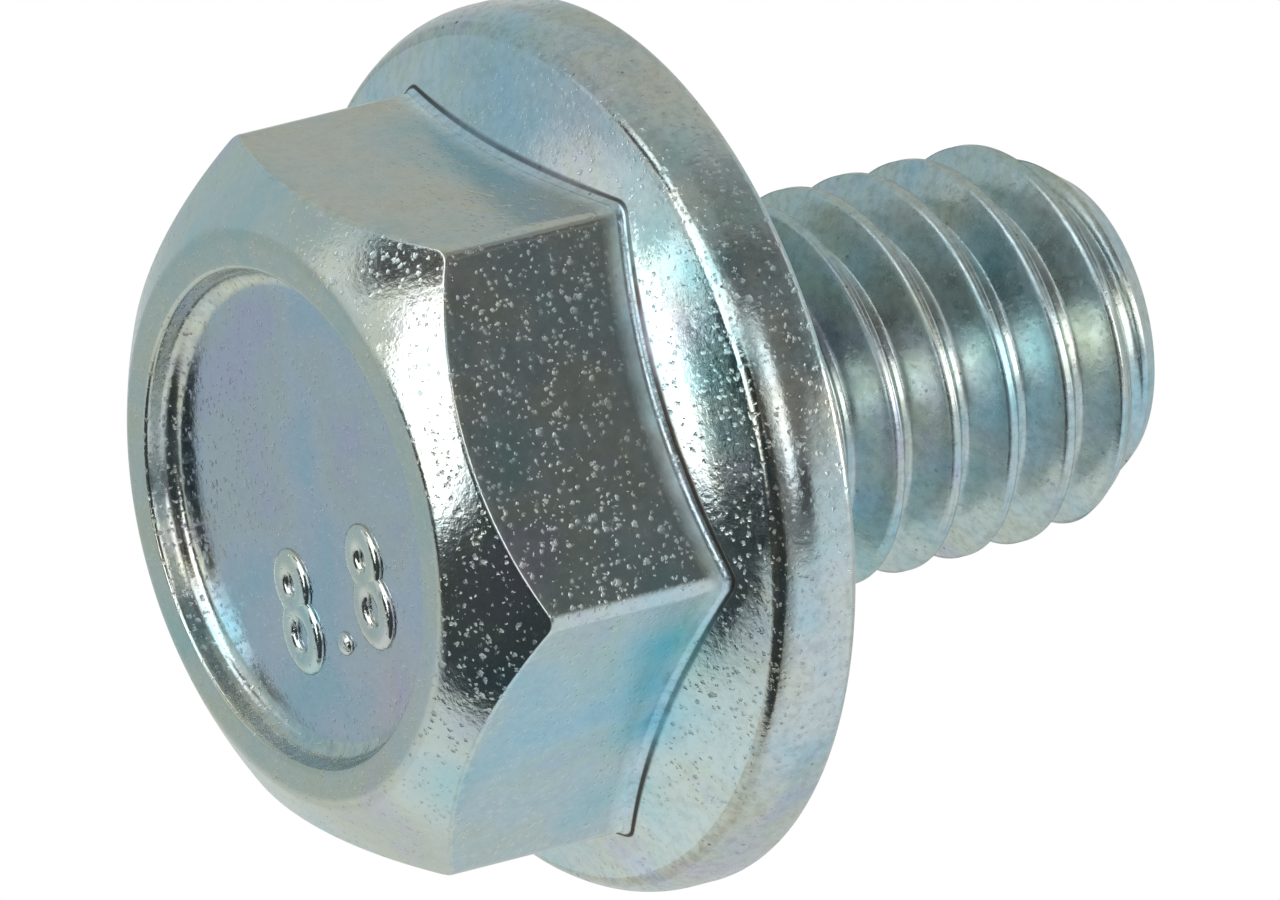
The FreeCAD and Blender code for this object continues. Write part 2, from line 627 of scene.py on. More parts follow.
@dataclass
class RolledThread:
    """Right-hand thread with its entry at the neck, its run-out and the end chamfer."""

    box: tuple[Vector, Vector]
    head_height: float = 5.7 * MM
    crest_radius: float = 2.95 * MM
    pitch: float = 1.0 * MM
    crest_share: float = 1 / 8
    depth_share: float = 17 / 24
    flank_angle: float = math.radians(30)
    start_height: float = 0.34 * MM
    neck_length: float = 0.5 * MM
    neck_overlap: float = 0.05 * MM
    runout: float = 1.2 * MM
    runout_fall: float = 0.6
    end_radius: float = 2.25 * MM
    end_angle: float = math.radians(35)
    end_rounding: float = 0.03 * MM
    end_overlap: float = 0.06 * MM
    edge_softness: float = 0.03 * MM
    seam_depth: float = 0.012 * MM
    seam_half_width: float = 0.035
    dark_band: tuple[float, float] = (0.55, 0.62)
    rows_per_turn: int = 20
    crowding: float = 0.55

    @property
    def depth(self) -> float:
        """Depth of the groove, a share of the height of the thread's full triangle."""
        return self.depth_share * self.pitch * math.sqrt(3) / 2

    @property
    def root_radius(self) -> float:
        """Radius at the bottom of the groove."""
        return self.crest_radius - self.depth

    @property
    def neck_radius(self) -> float:
        """Radius of the plain neck, halfway between crest and root."""
        return (self.crest_radius + self.root_radius) / 2

    @property
    def low(self) -> float:
        """Height at which the thread's mesh begins, still on the plain neck."""
        return self.head_height + self.neck_length - self.neck_overlap

    @property
    def end(self) -> float:
        """Height of the end face."""
        return self.box[1].z

    @property
    def high(self) -> float:
        """Height at which the thread's mesh stops, on the end chamfer."""
        return self.end - self.end_overlap

    @property
    def high_radius(self) -> float:
        """Radius of the end chamfer where the thread's mesh stops."""
        return self.end_radius + (self.end - self.high) * math.tan(self.end_angle)

    def inputs(self) -> dict[str, float]:
        """The tree's named inputs and their values."""
        half_groove = self.pitch * (1 - self.crest_share) / 2
        return {
            "Pitch": self.pitch,
            "Crest Radius": self.crest_radius,
            "Root Radius": self.root_radius,
            "Root Half Width": half_groove - self.depth * math.tan(self.flank_angle),
            "Edge Softness": self.edge_softness,
            "Seam Depth": self.seam_depth,
            "Neck Radius": self.neck_radius,
            "Neck End": self.head_height + self.neck_length,
            "End Radius": self.end_radius,
            "End Height": self.end,
            "Low Height": self.low,
            "High Height": self.high,
        }

    def tree(self, around: Around) -> bpy.types.NodeTree:
        """Builds the node tree that winds a flat grid into the thread.

        Args:
            around: the spacing round the axis, shared with the head.

        Returns:
            The geometry node tree, with the thread's sizes as named inputs.
        """
        tree = geometry_tree("rolled_thread", self.inputs())
        f = Formula(tree)
        size = f.node("NodeGroupInput").outputs
        base = self.head_height + self.start_height
        base -= math.ceil((base - self.low) / self.pitch + 1) * self.pitch
        turns = math.ceil((self.high - base) / self.pitch) + 1
        grid = f.node("GeometryNodeMeshGrid")
        f.plug(grid.inputs["Vertices X"], around.steps + 1)
        f.plug(grid.inputs["Vertices Y"], turns * self.rows_per_turn + 1)
        angle, phase = self.unrolled(f, around, turns)
        lift = f.maths("ADD", phase, f.maths("DIVIDE", angle, 2 * math.pi))
        raw = f.maths("MULTIPLY_ADD", lift, size["Pitch"], base)
        height = f.maths("MINIMUM", f.maths("MAXIMUM", raw, size["Low Height"]), size["High Height"])
        radius = self.trimmed(f, size, self.profile(f, size, phase), height)
        along = f.maths("MULTIPLY", radius, f.maths("COSINE", angle))
        aside = f.maths("MULTIPLY", radius, f.maths("SINE", angle))
        wind = f.node("GeometryNodeSetPosition")
        f.plug(wind.inputs["Geometry"], grid.outputs["Mesh"])
        f.plug(wind.inputs["Position"], f.vector(along, aside, height))
        weld = f.node("GeometryNodeMergeByDistance")
        f.plug(weld.inputs["Geometry"], wind.outputs[0])
        f.plug(weld.inputs["Distance"], SAME_PLACE)
        finish_tree(f, weld.outputs[0])
        return tree

    def unrolled(self, f: Formula, around: Around, turns: int) -> tuple[Socket, Socket]:
        """Reads where a vertex of the flat grid goes. Rows crowd at the crest and at the root.

        Args:
            f: the tree's formula.
            around: the spacing round the axis.
            turns: number of turns that the grid covers.

        Returns:
            Its angle round the axis, and its place across the grooves, where each pitch counts 1.
        """
        place = f.node("ShaderNodeSeparateXYZ")
        f.plug(place.inputs[0], f.node("GeometryNodeInputPosition").outputs[0])
        even = f.maths("MULTIPLY", f.maths("ADD", place.outputs["X"], 0.5), 2 * math.pi)
        sway = f.maths("SINE", f.maths("MULTIPLY", even, float(HEX_SIDES)))
        angle = f.maths("SUBTRACT", even, f.maths("MULTIPLY", sway, around.crowding / HEX_SIDES))
        rank = f.maths("MULTIPLY", f.maths("ADD", place.outputs["Y"], 0.5), float(turns))
        twice = 2 * 2 * math.pi
        pull = f.maths("SINE", f.maths("MULTIPLY", rank, twice))
        return angle, f.maths("SUBTRACT", rank, f.maths("MULTIPLY", pull, self.crowding / twice))

    def profile(self, f: Formula, size: bpy.types.bpy_prop_collection, phase: Socket) -> Socket:
        """Works out the radius of an endless thread: root, straight flanks, and crest with its seam.

        Args:
            f: the tree's formula.
            size: the tree's named inputs.
            phase: place across the grooves.

        Returns:
            The radius.
        """
        away = f.maths("PINGPONG", phase, 0.5)
        flank = f.maths("SUBTRACT", f.maths("MULTIPLY", away, size["Pitch"]), size["Root Half Width"])
        slope = f.maths("MULTIPLY_ADD", flank, 1 / math.tan(self.flank_angle), size["Root Radius"])
        from_seam = f.maths("DIVIDE", f.maths("SUBTRACT", 0.5, away), self.seam_half_width)
        inside = f.maths("MAXIMUM", f.maths("SUBTRACT", 1.0, from_seam), 0.0)
        crest = f.maths("SUBTRACT", size["Crest Radius"], f.maths("MULTIPLY", inside, size["Seam Depth"]))
        soft = size["Edge Softness"]
        return f.maths("SMOOTH_MAX", f.maths("SMOOTH_MIN", slope, crest, soft), size["Root Radius"], soft)

    def trimmed(
        self, f: Formula, size: bpy.types.bpy_prop_collection, radius: Socket, height: Socket
    ) -> Socket:
        """Trims the endless thread to its entry at the neck, its run-out and the end chamfer.

        Args:
            f: the tree's formula.
            size: the tree's named inputs.
            radius: the endless thread's radius.
            height: height above the head top.

        Returns:
            The radius of the real thread.
        """
        soft = size["Edge Softness"]
        past_neck = f.maths("SUBTRACT", height, size["Neck End"])
        entry = f.maths("ADD", size["Neck Radius"], past_neck)
        steepness = self.depth * self.runout_fall / self.runout
        fall = f.maths("MULTIPLY", f.maths("MAXIMUM", past_neck, 0.0), steepness)
        neck = f.maths("SUBTRACT", size["Neck Radius"], fall)
        left = f.maths("SUBTRACT", size["End Height"], height)
        chamfer = f.maths("MULTIPLY_ADD", left, math.tan(self.end_angle), size["End Radius"])
        entered = f.maths("SMOOTH_MAX", f.maths("SMOOTH_MIN", radius, entry, soft), neck, soft)
        return f.maths("SMOOTH_MIN", entered, chamfer, soft)

    def crest_edge(self, place: Vector) -> bool:
        """Tells whether a place lies beside the crest, on the side of the end, where the thread is painted
        darker and more speckled.

        Args:
            place: a place on the thread.

        Returns:
            Whether it lies in that darker band.
        """
        turn = math.atan2(place.y, place.x) / (2 * math.pi)
        phase = ((place.z - self.head_height - self.start_height) / self.pitch - turn) % 1
        return self.dark_band[0] < phase < self.dark_band[1]

    def end_rows(self, around: Around) -> list[Row]:
        """Samples the end chamfer and the end face.

        Args:
            around: the spacing round the axis.

        Returns:
            The rows of vertices up to the middle of the end face.
        """
        corners = [
            Corner(self.high_radius, self.high, Zone.SHANK),
            Corner(self.end_radius, self.end, Zone.SHANK, self.end_rounding, 1, 4),
            Corner(0.0, self.end, Zone.SHANK, 0.0, 5),
        ]
        return outline_rows(corners, around)


@dataclass
class StrengthNumbers:
    """Raised strength class in the recess: two figures of two loops each, and a dot between them."""

    floor_height: float = 0.45 * MM
    first: tuple[float, float] = (-1.2 * MM, -1.05 * MM)
    second: tuple[float, float] = (-1.27 * MM, 1.15 * MM)
    dot: tuple[float, float] = (-1.98 * MM, 0.0)
    dot_radius: float = 0.19 * MM
    lean: float = math.radians(8)
    ridge_half_width: float = 0.2 * MM
    relief: float = 0.1 * MM
    upper_loop: tuple[float, float] = (0.34 * MM, 0.27 * MM)
    lower_loop: tuple[float, float] = (0.42 * MM, 0.33 * MM)
    ridge_steps: int = 24
    loop_steps: int = 64
    dot_steps: int = 32

    def inputs(self) -> dict[str, float]:
        """The tree's named inputs and their values."""
        return {
            "Ridge Half Width": self.ridge_half_width,
            "Relief": self.relief,
            "Dot Radius": self.dot_radius,
            "Lean": self.lean,
        }

    def tree(self) -> bpy.types.NodeTree:
        """Builds the node tree that bends flat ridges into loops and sets them out.

        Returns:
            The geometry node tree, with the figures' sizes as named inputs.
        """
        tree = geometry_tree("strength_numbers", self.inputs())
        f = Formula(tree)
        size = f.node("NodeGroupInput").outputs
        section = f.vector(size["Ridge Half Width"], size["Relief"], 1.0)
        ridge = self.placed(f, self.circle(f, self.ridge_steps), section, (0.0, 0.0, 0.0))
        figure = f.node("GeometryNodeJoinGeometry")
        for loop, side in ((self.upper_loop, 1), (self.lower_loop, -1)):
            circle = self.circle(f, self.loop_steps)
            oval = self.placed(f, circle, (*loop, 1.0), (side * loop[0], 0.0, 0.0))
            upright = f.node("GeometryNodeSetCurveNormal")
            f.plug(upright.inputs["Curve"], oval)
            sweep = f.node("GeometryNodeCurveToMesh")
            f.plug(sweep.inputs["Curve"], upright.outputs[0])
            f.plug(sweep.inputs["Profile Curve"], ridge)
            f.plug(figure.inputs[0], sweep.outputs[0])
        lean = f.vector(0.0, 0.0, size["Lean"])
        figures = f.node("GeometryNodeJoinGeometry")
        for x, y in (self.first, self.second):
            middle = (x, y, self.floor_height)
            f.plug(figures.inputs[0], self.placed(f, figure.outputs[0], (1.0, 1.0, 1.0), middle, lean))
        ball = f.node("GeometryNodeMeshUVSphere")
        f.plug(ball.inputs["Segments"], self.dot_steps)
        f.plug(ball.inputs["Rings"], self.dot_steps // 2)
        f.plug(ball.inputs["Radius"], 1.0)
        flat = f.vector(size["Dot Radius"], size["Dot Radius"], size["Relief"])
        dot = self.placed(f, ball.outputs["Mesh"], flat, (*self.dot, self.floor_height))
        f.plug(figures.inputs[0], dot)
        finish_tree(f, figures.outputs[0])
        return tree

    @staticmethod
    def circle(f: Formula, steps: int) -> Socket:
        """Adds a circle of radius 1 to a tree.

        Args:
            f: the tree's formula.
            steps: number of its points.

        Returns:
            The circle's socket.
        """
        circle = f.node("GeometryNodeCurvePrimitiveCircle")
        f.plug(circle.inputs["Resolution"], steps)
        f.plug(circle.inputs["Radius"], 1.0)
        return circle.outputs[0]

    @staticmethod
    def placed(f: Formula, shape: Socket, scale: object, place: Place, turn: object = (0, 0, 0)) -> Socket:
        """Scales, turns and moves a shape within a tree.

        Args:
            f: the tree's formula.
            shape: the shape's socket.
            scale: the scale's socket, or three numbers.
            place: where its middle goes.
            turn: the rotation's socket, or three angles.

        Returns:
            The moved shape's socket.
        """
        node = f.node("GeometryNodeTransform")
        f.plug(node.inputs["Geometry"], shape)
        f.plug(node.inputs["Scale"], scale)
        f.plug(node.inputs["Rotation"], turn)
        f.plug(node.inputs["Translation"], place)
        return node.outputs[0]


# Plating


@dataclass(frozen=True)
class Finish:
    """Plating of one zone: its colour, how satin it is, how much dirt it holds and how mottled it is."""

    colour: Colour
    roughness: float
    grime: float
    mottle: float


@dataclass(frozen=True)
class Stain:
    """A soft patch of interference colour, left by the bath."""

    place: Place
    reach: float
    colour: Colour
    strength: float


PLATING = {
    Zone.SHANK: Finish((0.52, 0.60, 0.62), 0.27, 0.8, 0.4),
    Zone.RECESS: Finish((0.49, 0.55, 0.63), 0.13, 0.15, 0.1),
    Zone.RING: Finish((0.55, 0.58, 0.54), 0.17, 0.3, 0.1),
    Zone.DOME: Finish((0.62, 0.66, 0.64), 0.11, 0.2, 0.1),
    Zone.FLAT: Finish((0.62, 0.66, 0.66), 0.13, 0.3, 0.15),
    Zone.CONE: Finish((0.62, 0.69, 0.70), 0.105, 0.3, 0.25),
    Zone.RIM: Finish((0.59, 0.63, 0.63), 0.18, 0.8, 0.35),
    Zone.SEAT: Finish((0.56, 0.60, 0.60), 0.18, 0.3, 0.2),
    Zone.WALL: Finish((0.58, 0.62, 0.61), 0.18, 0.9, 0.4),
    Zone.FOOT: Finish((0.62, 0.72, 0.79), 0.22, 1.0, 0.4),
    # Painted sheen: near-white colour at the flats' foot; the roughness is the finish's own.
    Zone.HAZE: Finish((0.86, 0.96, 1.0), 0.6, 0.6, 0.3),
    # Painted shade: near-black colour in the crease under the flats.
    Zone.CREASE: Finish((0.07, 0.055, 0.045), 0.4, 1.0, 0.3),
    Zone.EDGE: Finish((0.62, 0.66, 0.65), 0.16, 1.4, 0.3),
    Zone.LIP: Finish((0.54, 0.55, 0.52), 0.13, 2.2, 0.5),
    # Darker, more speckled band beside each crest, on the end's side.
    Zone.CREST: Finish((0.42, 0.48, 0.48), 0.3, 3.0, 0.6),
}
STAINS = (
    Stain((-2.6 * MM, 2.2 * MM, 0.45 * MM), 1.0 * MM, (0.62, 0.50, 0.60), 0.6),
    Stain((-3.1 * MM, 0.9 * MM, 0.45 * MM), 0.7 * MM, (0.64, 0.50, 0.58), 0.6),
    Stain((5.4 * MM, 2.4 * MM, 4.2 * MM), 1.2 * MM, (0.40, 0.58, 0.70), 0.8),
    Stain((4.2 * MM, 4.2 * MM, 4.1 * MM), 1.0 * MM, (0.52, 0.56, 0.66), 0.7),
    Stain((0.9 * MM, 5.4 * MM, 4.0 * MM), 0.5 * MM, (0.72, 0.62, 0.72), 0.7),
    Stain((1.5 * MM, 6.0 * MM, 4.3 * MM), 0.5 * MM, (0.42, 0.64, 0.64), 0.8),
    Stain((0.2 * MM, 6.1 * MM, 4.3 * MM), 0.6 * MM, (0.40, 0.62, 0.62), 0.8),
    Stain((0.1 * MM, 5.75 * MM, 4.15 * MM), 0.4 * MM, (0.40, 0.68, 0.70), 0.8),
    Stain((-0.8 * MM, 5.8 * MM, 4.2 * MM), 0.35 * MM, (0.44, 0.66, 0.66), 0.7),
    Stain((2.3 * MM, 5.5 * MM, 4.15 * MM), 0.5 * MM, (0.42, 0.66, 0.70), 0.8),
    Stain((2.2 * MM, 1.8 * MM, 8.0 * MM), 1.3 * MM, (0.42, 0.60, 0.68), 0.7),
    Stain((-3.6 * MM, 2.9 * MM, 2.0 * MM), 1.9 * MM, (0.48, 0.67, 0.75), 0.8),
    Stain((-3.4 * MM, 3.9 * MM, 3.4 * MM), 0.65 * MM, (0.16, 0.60, 0.74), 0.9),
    Stain((-3.9 * MM, 3.1 * MM, 3.35 * MM), 0.5 * MM, (0.22, 0.60, 0.74), 0.9),
    Stain((-4.4 * MM, 2.3 * MM, 3.5 * MM), 0.5 * MM, (0.24, 0.60, 0.74), 0.9),
)
FILM_COLOURS = (
    (0.30, (0.76, 0.96, 1.0)),
    (0.43, (0.93, 0.98, 1.0)),
    (0.50, (1.0, 1.0, 0.99)),
    (0.57, (1.0, 0.99, 0.91)),
    (0.70, (0.97, 0.91, 1.0)),
)
BATH_COLOURS = (
    (0.30, (0.62, 0.90, 1.06)),
    (0.45, (0.94, 1.0, 1.02)),
    (0.55, (1.02, 1.0, 0.97)),
    (0.70, (1.05, 0.97, 0.80)),
)


@dataclass(frozen=True)
class ZincPlating:
    """Bright zinc with a thin blue passivation, over steel that cold forming left finely pitted.

    Smut darkens it, breath dulls it, clouds hold its dirt, and pitted is where pits and specks gather.
    Satin is the span of roughness over which they fade out.
    """

    tint_size: float = 1.8 * MM
    bath_size: float = 1.1 * MM
    peel_size: float = 0.12 * MM
    peel_relief: float = 0.5
    fray_size: float = 0.05 * MM
    fray_reach: float = 0.09 * MM
    smut: Patches = Patches(0.16 * MM, 4.0, 0.65, (0.3, 0.62), (0.6, 1.15))
    breath: Patches = Patches(0.5 * MM, 4.0, 0.6, (0.3, 0.8), (0.8, 1.4))
    pitted: Patches = Patches(0.9 * MM, 3.0, 0.5, (0.3, 0.55), (0.4, 1.0))
    pits: Spots = Spots(0.2 * MM, 0.42, 2.0)
    specks: Spots = Spots(0.1 * MM, 0.58, 1.3)
    pit_depth: float = 0.008 * MM
    speck_relief: float = 0.8
    pit_roughness: float = 0.45
    satin: tuple[float, float] = (0.2, 0.27)
    satin_pits: float = 0.3
    clouds: Patches = Patches(0.9 * MM, 3.0, 0.5, (0.35, 0.65))
    dirt: Spots = Spots(0.16 * MM, 0.32, 3.0)
    dirt_roughness: float = 0.3
    dirt_colour: Colour = (0.10, 0.10, 0.09)

    def material(self) -> bpy.types.Material:
        """Builds the material.

        Returns:
            The material: colour and gloss from the painted attributes, pits and dirt from textures.
        """
        made = bpy.data.materials.new(SLOT)
        made.use_nodes = True
        f = Formula(made.node_tree)
        shader = made.node_tree.nodes["Principled BSDF"]
        shader.inputs["Metallic"].default_value = 1.0
        place = f.node("ShaderNodeTexCoord").outputs["Object"]
        wear = f.node("ShaderNodeSeparateColor")
        f.plug(wear.inputs[0], f.node("ShaderNodeAttribute", attribute_name="wear").outputs["Color"])
        gloss, grime, mottle = wear.outputs
        clouds = f.maths("MULTIPLY", f.patches(place, self.clouds), grime)
        dirt = f.maths("MULTIPLY", f.spots(place, self.dirt), clouds)
        colour = f.blend(dirt, self.film(f, place, mottle), (*self.dirt_colour, 1.0))
        f.plug(shader.inputs["Base Color"], colour)

        frayed = self.frayed(f, place)
        bright = f.ramp(gloss, *self.satin, 1.0, self.satin_pits)
        pitted = f.maths("MULTIPLY", f.patches(place, self.pitted), bright)
        pits = f.maths("MULTIPLY", f.spots(frayed, self.pits), pitted)
        specks = f.maths("MULTIPLY", f.spots(frayed, self.specks), pitted)
        rough = f.maths("MULTIPLY", gloss, f.patches(place, self.breath))
        rough = f.maths("MULTIPLY_ADD", f.maths("MAXIMUM", pits, specks), self.pit_roughness, rough)
        rough = f.maths("MULTIPLY_ADD", dirt, self.dirt_roughness, rough)
        f.plug(shader.inputs["Roughness"], rough)

        relief = f.maths("MULTIPLY_ADD", specks, -self.speck_relief, f.maths("MULTIPLY", pits, -1.0))
        peel = f.noise(place, self.peel_size, 3.0, 0.6)
        bump = f.node("ShaderNodeBump")
        bump.inputs["Distance"].default_value = self.pit_depth
        f.plug(bump.inputs["Height"], f.maths("MULTIPLY_ADD", peel, self.peel_relief, relief))
        f.plug(shader.inputs["Normal"], bump.outputs[0])
        return made

    def film(self, f: Formula, place: Socket, mottle: Socket) -> Socket:
        """Shifts the painted colour as the passivation does, with clouds from the bath and smut.

        Args:
            f: the material's formula.
            place: the coordinates' socket.
            mottle: how much the bath and the smut show.

        Returns:
            The colour's socket.
        """
        tint = f.node("ShaderNodeAttribute", attribute_name="tint").outputs["Color"]
        colour = f.blend(1.0, tint, f.drift(place, self.tint_size, 2.0, FILM_COLOURS), "MULTIPLY")
        colour = f.blend(mottle, colour, f.drift(place, self.bath_size, 3.0, BATH_COLOURS), "MULTIPLY")
        smut = f.patches(place, self.smut)
        return f.blend(mottle, colour, f.vector(smut, smut, smut), "MULTIPLY")

    def frayed(self, f: Formula, place: Socket) -> Socket:
        """Shifts the coordinates a little from place to place, so that spots get ragged outlines.

        Args:
            f: the material's formula.
            place: the coordinates' socket.

        Returns:
            The shifted coordinates' socket.
        """
        noise = f.node("ShaderNodeTexNoise")
        f.plug(noise.inputs["Vector"], place)
        noise.inputs["Scale"].default_value = 1 / self.fray_size
        shift = f.node("ShaderNodeVectorMath", operation="MULTIPLY_ADD")
        f.plug(shift.inputs[0], noise.outputs["Color"])
        f.plug(shift.inputs[1], (self.fray_reach,) * 3)
        f.plug(shift.inputs[2], place)
        return shift.outputs[0]

    @staticmethod
    def paint(mesh: bpy.types.Mesh, zones: np.ndarray) -> None:
        """Writes the colour and the wear of each zone to the mesh.

        Args:
            mesh: the mesh.
            zones: the zone number of each vertex.
        """
        points = np.array([vertex.co for vertex in mesh.vertices])
        finishes = [PLATING[zone] for zone in sorted(Zone, key=lambda zone: zone.value)]
        colour = np.array([finish.colour for finish in finishes])[zones]
        for stain in STAINS:
            far = np.linalg.norm(points - np.array(stain.place), axis=1) / stain.reach
            share = (stain.strength * np.exp(-far ** 2))[:, None]
            colour += (np.array(stain.colour) - colour) * share
        wear = np.array([(finish.roughness, finish.grime, finish.mottle) for finish in finishes])[zones]
        # The tint carries painted light too: the sheen at the flats' foot and the shade in the crease.
        paint_layer(mesh, "tint", colour)
        paint_layer(mesh, "wear", wear)


# The whole bolt


@dataclass
class OilPanBolt:
    """The bolt: one piece of steel, made as one closed mesh, and the figures raised in its recess."""

    box: tuple[Vector, Vector]
    around: Around = field(default_factory=Around)
    plating: ZincPlating = field(default_factory=ZincPlating)

    def build(self) -> list[bpy.types.Object]:
        """Builds and dresses the bolt.

        Returns:
            The bolt's object, which stands for the solid of the frame, and the figures' object.
        """
        material = self.plating.material()
        bolt = self.piece("zinc_plated_bolt", self.body(), material)
        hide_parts(NODE)
        numbers = StrengthNumbers()
        figures = grown(numbers.tree(), numbers.inputs())
        layer = figures.verts.layers.int["zone"]
        for vertex in figures.verts:
            vertex[layer] = Zone.DOME.value
        return [bolt, self.piece("strength_numbers", figures, material)]

    def body(self) -> bmesh.types.BMesh:
        """Joins head, thread and end into one closed mesh.

        Returns:
            The mesh, with the zone of each vertex.
        """
        head = FlangedHead(self.box)
        thread = RolledThread(self.box, head.height)
        mesh = grown(thread.tree(self.around), thread.inputs())
        layer = mesh.verts.layers.int["zone"]
        for vertex in mesh.verts:
            vertex[layer] = Zone.CREST.value if thread.crest_edge(vertex.co) else Zone.SHANK.value
        add_rows(mesh, head.rows(self.around, thread.neck_radius, thread.low))
        add_rows(mesh, thread.end_rows(self.around))
        bmesh.ops.remove_doubles(mesh, verts=mesh.verts, dist=SAME_PLACE)
        bmesh.ops.dissolve_degenerate(mesh, edges=mesh.edges, dist=SAME_PLACE / 10)
        return mesh

    def piece(self, name: str, mesh: bmesh.types.BMesh, material: bpy.types.Material) -> bpy.types.Object:
        """Turns a mesh into a plated piece of the bolt.

        Args:
            name: the piece's name.
            mesh: its mesh, with the zone of each vertex. It is used up.
            material: the plating's material.

        Returns:
            The piece's object.
        """
        bmesh.ops.recalc_face_normals(mesh, faces=mesh.faces)
        open_edges = sum(1 for edge in mesh.edges if len(edge.link_faces) != 2)
        LOG.info("%s: %d faces, %d open edges", name, len(mesh.faces), open_edges)
        layer = mesh.verts.layers.int["zone"]
        zones = np.array([vertex[layer] for vertex in mesh.verts])
        mesh.verts.layers.int.remove(layer)
        data = plain_mesh(name, mesh)
        data.shade_smooth()
        data.materials.append(material)
        self.plating.paint(data, zones)
        piece = linked(name, data)
        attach(piece, BODY)
        return piece


# Camera and surroundings


def direction(azimuth: float, elevation: float) -> np.ndarray:
    """The way to a place round the bolt: azimuth 0 is -Y, a quarter turn is +X."""
    flat = math.cos(elevation)
    return np.array([math.sin(azimuth) * flat, -math.cos(azimuth) * flat, math.sin(elevation)])


@dataclass(frozen=True)
class Viewpoint:
    """Where the camera stands: far off, below the head, tipped so that the thread points right."""

    azimuth: float = math.radians(184.44)
    elevation: float = math.radians(-30.18)
    tip: float = math.radians(75.98)
    distance: float = 587.07 * MM
    aim: Place = (-0.245 * MM, -0.348 * MM, 6.336 * MM)
    lens: float = 1125.0
    sensor: float = 36.0

    def build(self) -> None:
        """Makes the scene's camera."""
        data = bpy.data.cameras.new("viewpoint")
        data.lens = self.lens
        data.sensor_width = self.sensor
        data.clip_start = self.distance / 10
        data.clip_end = self.distance * 10
        camera = linked("viewpoint", data)
        back = Vector(direction(self.azimuth, self.elevation))
        turn = (-back).to_track_quat("-Z", "Y").to_matrix() @ Matrix.Rotation(self.tip, 3, "Z")
        camera.matrix_world = Matrix.Translation(Vector(self.aim) + back * self.distance) @ turn.to_4x4()
        bpy.context.scene.camera = camera


@dataclass(frozen=True)
class Card:
    """A soft box, a flag or a stretch of cloth in the light tent. Angles are in degrees."""

    azimuth: float
    elevation: float
    half_width: float
    half_height: float
    shade: Colour
    softness: float = 0.3
    squareness: float = 4.0

    def mask(self, ways: np.ndarray) -> np.ndarray:
        """How much of the card is seen in each direction from the bolt.

        Args:
            ways: directions of length 1.

        Returns:
            Shares from 0 to 1, one for each direction.
        """
        turn = math.radians(self.azimuth)
        middle = direction(turn, math.radians(self.elevation))
        across = np.array([math.cos(turn), math.sin(turn), 0.0])
        upward = np.cross(middle, across)
        x = np.abs(ways @ across) / math.sin(math.radians(self.half_width))
        y = np.abs(ways @ upward) / math.sin(math.radians(self.half_height))
        edge = (x ** self.squareness + y ** self.squareness) ** (1 / self.squareness)
        inside = np.clip((1 + self.softness - edge) / (2 * self.softness), 0, 1)
        return inside ** 2 * (3 - 2 * inside) * (ways @ middle > 0)


@dataclass
class LightTent:
    """Tent of pale cloth that the metal mirrors, with soft boxes and dark flags in it."""

    cloth: Colour = (0.62, 0.65, 0.64)
    radius: float = 0.3
    middle_height: float = 7 * MM
    segments: int = 180
    rings: int = 90
    cards: tuple[Card, ...] = (
        Card(-105, 11, 45, 37, (0.80, 0.86, 0.90)),
        Card(-35, -15, 40, 35, (0.70, 0.74, 0.72)),
        Card(-32, -38, 22, 18, (0.80, 0.86, 0.84)),
        Card(40, -20, 35, 35, (0.48, 0.585, 0.61)),
        Card(100, 5, 30, 38, (0.54, 0.56, 0.52)),
        Card(140, 15, 18, 40, (0.31, 0.32, 0.30)),
        Card(130, -18, 20, 16, (0.40, 0.42, 0.39)),
        Card(154, 5, 9, 38, (0.13, 0.13, 0.13)),
        Card(-150, -8, 12, 22, (0.10, 0.10, 0.11)),
        Card(180, 60, 30, 12, (0.9, 0.9, 0.9)),
        Card(-120, -27, 20, 7, (0.42, 0.46, 0.47)),
        Card(-162, -38, 32, 8, (0.10, 0.09, 0.085)),
        Card(176, 12, 23, 18, (0.22, 0.215, 0.20), 0.25),
        Card(176, 30.5, 9, 7.5, (0.13, 0.143, 0.141), 0.35),
        Card(-155, 4, 8, 10, (0.09, 0.085, 0.08)),
        Card(-172, -14, 18, 7.5, (1.9, 1.9, 1.9)),
        Card(55, 32, 14, 12, (0.50, 0.52, 0.48)),
        Card(-64, 31, 13, 11, (0.58, 0.68, 0.72)),
        Card(72, -52, 15, 9, (0.85, 0.88, 0.85)),
        Card(135, -50, 28, 17, (1.8, 1.85, 1.85), 0.2),
        Card(47, -68, 14, 12, (0.75, 0.82, 0.82)),
        Card(118, -75, 10.5, 23, (2.6, 2.6, 2.6), 0.12, 3.0),
        Card(95, -50.5, 13, 5.5, (0.09, 0.09, 0.09)),
        Card(178, -57, 8, 14, (0.03, 0.025, 0.02)),
        Card(-115, -55, 30, 24, (0.045, 0.055, 0.06), 0.1),
        Card(-99, -71, 13, 11, (0.065, 0.075, 0.08), 0.25),
        Card(-9, -75.5, 16, 9.5, (0.04, 0.055, 0.06), 0.2),
    )

    def build(self) -> None:
        """Makes the tent and paints its cards, each one over those before it."""
        mesh = bmesh.new()
        bmesh.ops.create_uvsphere(mesh, u_segments=self.segments, v_segments=self.rings, radius=self.radius)
        ways = unit(np.array([vertex.co for vertex in mesh.verts]))
        bmesh.ops.translate(mesh, verts=mesh.verts, vec=(0, 0, self.middle_height))
        shades = np.tile(self.cloth, (len(ways), 1))
        for card in self.cards:
            shades += (np.array(card.shade) - shades) * card.mask(ways)[:, None]
        glowing("light_tent", plain_mesh("light_tent", mesh), shades)


